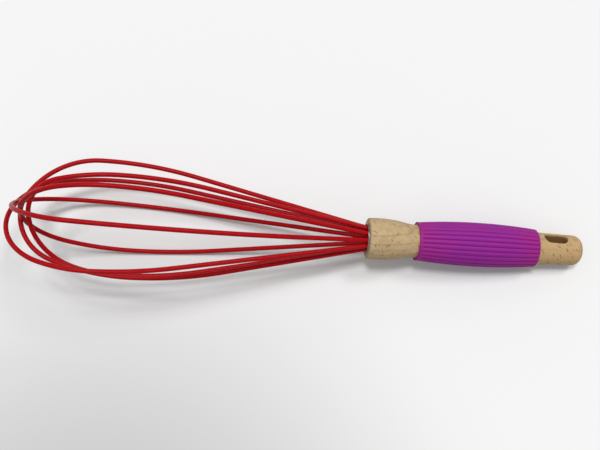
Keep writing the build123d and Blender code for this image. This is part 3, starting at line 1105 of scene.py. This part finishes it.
class WHISK_OT_fittings(bpy.types.Operator):
    """Give the cup, plug, resin and bare wires their finishes"""

    bl_idname = "whisk.fittings"
    bl_label = "Fittings"

    def execute(self, context):
        fittings = context.scene.whisk_fittings
        metal = {"metallic": 1.0, "darkening": 0.2, "dulling": 0.15, "relief": 0.01 * MM}
        polymer = {"scale": 0.6, "metallic": 0.0, "darkening": 0.25, "dulling": 0.12, "relief": 0.02 * MM}
        round_marks, long_marks = (6.0, 0.3, 0.3), (0.2, 8.0, 8.0)
        cup = fitting_finish("cup_steel", fittings.cup_steel, scale=round_marks, roughness=0.22, **metal)
        wire = fitting_finish("wire_steel", fittings.wire_steel, scale=long_marks, roughness=0.25, **metal)
        plug = fitting_finish("plug_nylon", fittings.nylon, roughness=0.45, **polymer)
        resin = fitting_finish("potting_resin", fittings.resin, roughness=0.15, **polymer)
        dress_node("wire_cup", cup)
        dress_node("wire_plug", plug)
        dress_node("potting_resin", resin)
        for number in range(LOOP_COUNT):
            dress_node(f"wire_core_{number + 1}", wire)
        return {"FINISHED"}


def table_finish(stage):
    """Pale table with painted shade, a little darker round a place in front of the cage, which lights the
    whisk less.
    """
    finish = Finish("table", Roughness=0.9, Specular_IOR_Level=0.0)
    position = finish.add("ShaderNodeTexCoord", output="Object")
    away = finish.vector_math("DISTANCE", position, TABLE_SHADE_PLACE, output="Value")
    shaded = away.rise(TABLE_SHADE_REACH, TABLE_SHADE_REACH / 4)
    pale = finish.mix(shaded, stage.floor, stage.floor_shade)
    finish.set(Base_Color=finish.mix(finish.seen(), stage.floor_bounce, pale))
    return finish.material


def add_lamp(name, direction, spread, strength):
    """Far lamp whose light falls along a direction, softened by its spread."""
    light = bpy.data.lights.new(name, "SUN")
    light.energy = strength
    light.angle = spread
    lamp = bpy.data.objects.new(name, light)
    lamp.rotation_euler = Vector(direction).to_track_quat("-Z", "Y").to_euler()
    bpy.context.scene.collection.objects.link(lamp)


class WHISK_OT_stage(bpy.types.Operator):
    """Set the table, the lamps, the room light and the camera"""

    bl_idname = "whisk.stage"
    bl_label = "Stage"

    def execute(self, context):
        scene = context.scene
        stage = scene.whisk_stage
        table = bmesh.new()
        bmesh.ops.create_circle(table, cap_ends=True, segments=TABLE_SIDES, radius=TABLE_RADIUS)
        mesh = bpy.data.meshes.new("table")
        table.to_mesh(mesh)
        table.free()
        mesh.materials.append(table_finish(stage))
        add_piece("table", mesh)
        for name, (direction, spread) in LAMPS.items():
            add_lamp(name, direction, spread, getattr(stage, name))
        self.light_room(scene, stage)
        self.place_camera(scene, stage)
        scene.view_settings.view_transform = "Standard"
        return {"FINISHED"}

    def light_room(self, scene, stage):
        """Even light from all round, which looks white to the camera and in reflections."""
        world = bpy.data.worlds.new("room")
        scene.world = world
        world.use_nodes = True
        board = Board(world.node_tree)
        background = world.node_tree.nodes["Background"]
        board.feed(background.inputs["Color"], (1.0, 1.0, 1.0))
        board.feed(background.inputs["Strength"], stage.room + (1 - stage.room) * board.seen())

    def place_camera(self, scene, stage):
        """Camera that looks down on the whisk from just in front of it."""
        across, lift = stage.azimuth, stage.elevation
        back = Vector((sin(across) * cos(lift), -cos(across) * cos(lift), sin(lift)))
        right = Vector((cos(across), sin(across), 0))
        up = back.cross(right)
        data = bpy.data.cameras.new("camera")
        data.lens = stage.lens
        data.sensor_width = SENSOR_WIDTH
        data.sensor_fit = "HORIZONTAL"
        data.clip_start = NEAREST_SEEN
        data.clip_end = FARTHEST_SEEN
        camera = bpy.data.objects.new("camera", data)
        camera.location = right * stage.aim_right + up * stage.aim_up + back * stage.distance
        camera.rotation_euler = (pi / 2 - lift, 0, across)
        scene.collection.objects.link(camera)
        scene.camera = camera


class WHISK_PT_panel(bpy.types.Panel):
    """Lists the steps that build the whisk"""

    bl_idname = "WHISK_PT_panel"
    bl_label = "Balloon Whisk"
    bl_space_type = "VIEW_3D"
    bl_region_type = "UI"
    bl_category = "Whisk"

    def draw(self, context):
        for operator in OPERATORS:
            self.layout.operator(operator.bl_idname)


OPERATORS = (WHISK_OT_wires, WHISK_OT_handle, WHISK_OT_sleeve, WHISK_OT_fittings, WHISK_OT_stage)
CLASSES = (*SETTINGS.values(), *OPERATORS, WHISK_PT_panel)


def register():
    for cls in CLASSES:
        bpy.utils.register_class(cls)
    for name, cls in SETTINGS.items():
        setattr(bpy.types.Scene, name, PointerProperty(type=cls))


def unregister():
    for name in SETTINGS:
        delattr(bpy.types.Scene, name)
    for cls in reversed(CLASSES):
        bpy.utils.unregister_class(cls)


def main():
    register()
    bpy.ops.whisk.wires()
    bpy.ops.whisk.handle()
    bpy.ops.whisk.sleeve()
    bpy.ops.whisk.fittings()
    bpy.ops.whisk.stage()


if __name__ == "__main__":
    main()
